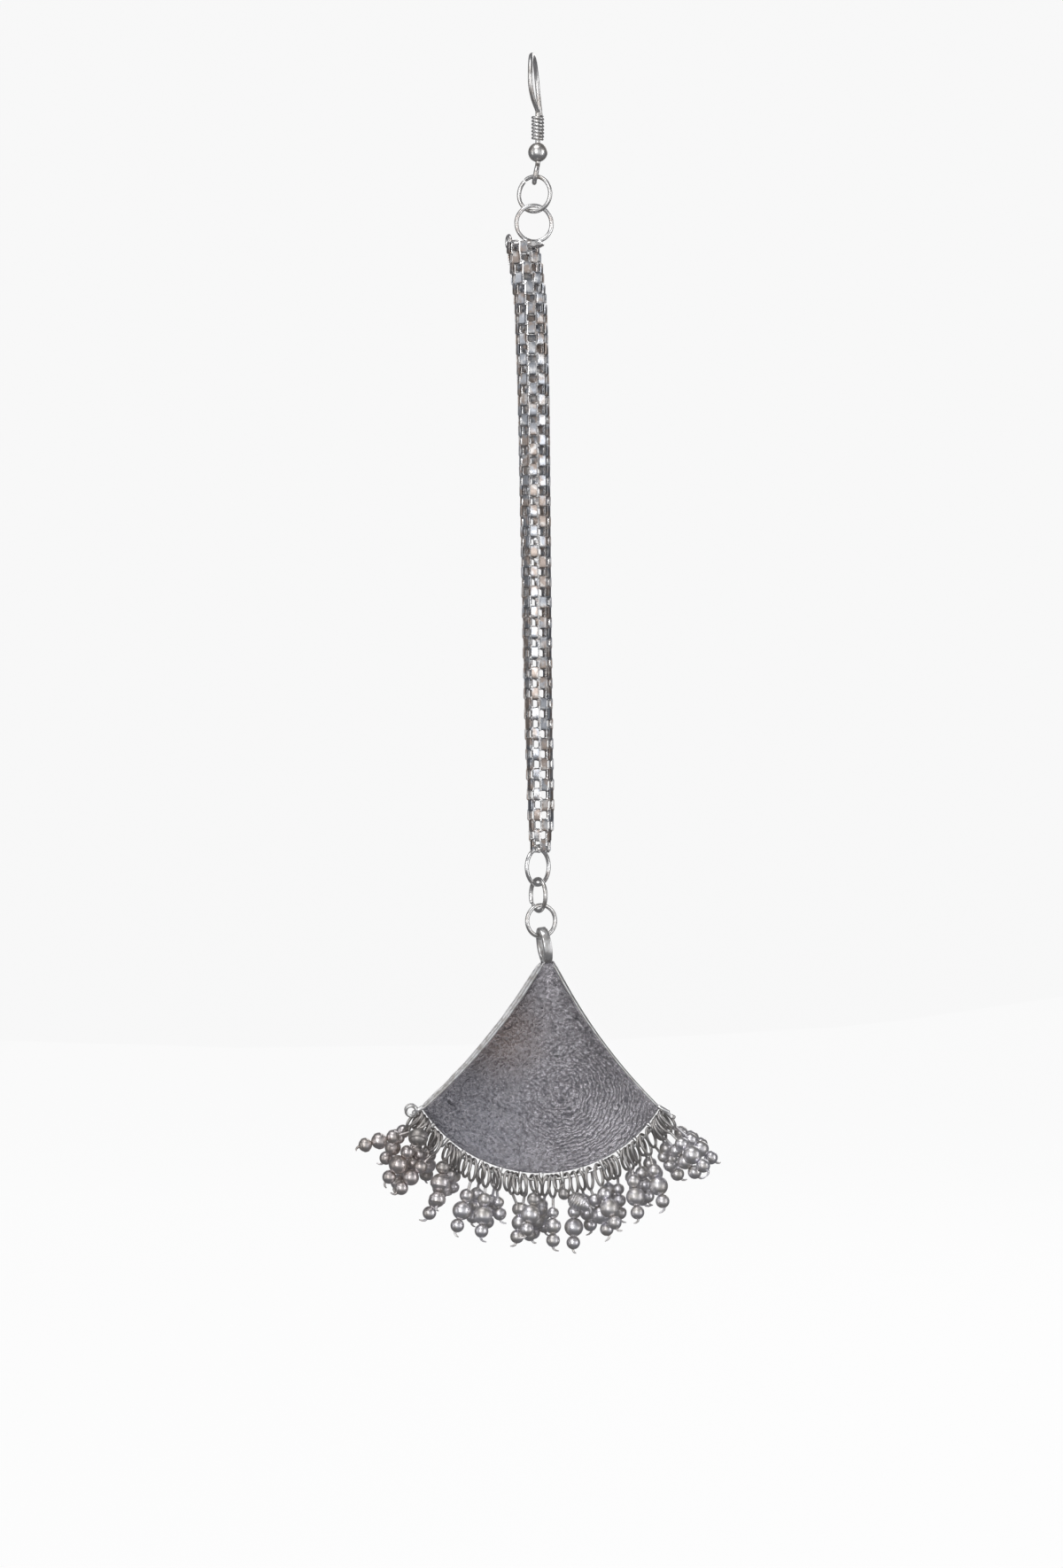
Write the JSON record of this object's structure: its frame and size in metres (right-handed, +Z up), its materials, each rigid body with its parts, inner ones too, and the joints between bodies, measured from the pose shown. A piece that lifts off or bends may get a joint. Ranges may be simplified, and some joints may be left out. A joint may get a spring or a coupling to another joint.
{
  "type": "maang tikka",
  "caption": "Hair ornament: an ear-wire hook and jump rings carry a tubular mesh chain, and a curled fan plate with bead drops along its rim hangs from a bail.",
  "frame": {"origin": "inside top of the hook's bend, where the hook rests on what holds it", "axes": "+Z up along the hanging chain, -Y towards the front, which the fan curls towards, +X to the right as seen from the front"},
  "size_m": [0.0561, 0.0137, 0.1862],
  "materials": {
    "hook_silver": "polished",
    "chain_silver": "bright silver with tarnish between the links",
    "fan_silver": "oxidised silver with fine grain",
    "bead_silver": "oxidised silver, rubbed"
  },
  "bodies": {
    "hook": {"ear_hook": "hook_silver", "hook_coil": "hook_silver", "hook_ball": "hook_silver"},
    "chain": {"top_ring": "hook_silver", "mesh_chain": "chain_silver", "small_link": "hook_silver", "lower_ring": "hook_silver"},
    "pendant": {"fan_plate": "fan_silver", "drop_01": "bead_silver", "drop_02": "bead_silver", "drop_03": "bead_silver", "drop_04": "bead_silver", "drop_05": "bead_silver", "drop_06": "bead_silver", "drop_07": "bead_silver", "drop_08": "bead_silver", "drop_09": "bead_silver", "drop_10": "bead_silver", "drop_11": "bead_silver", "drop_12": "bead_silver", "drop_13": "bead_silver", "drop_14": "bead_silver", "drop_15": "bead_silver", "drop_16": "bead_silver", "drop_17": "bead_silver", "drop_18": "bead_silver", "drop_19": "bead_silver", "drop_20": "bead_silver", "drop_21": "bead_silver", "drop_22": "bead_silver", "drop_23": "bead_silver", "drop_24": "bead_silver", "drop_25": "bead_silver", "drop_26": "bead_silver", "drop_27": "bead_silver"}
  },
  "joints": [
    {"name": "hook_swing", "type": "hinge", "parent": "hook", "child": "chain", "pos_m": [0.0002, -0.0015, -0.01868], "axis": [0.8988, -0.4384, 0], "range_deg": [-75, 75]},
    {"name": "pendant_swing", "type": "hinge", "parent": "chain", "child": "pendant", "pos_m": [0.00122, -0.0015, -0.13622], "axis": [0.891, 0.454, 0], "range_deg": [-75, 75]}
  ]
}
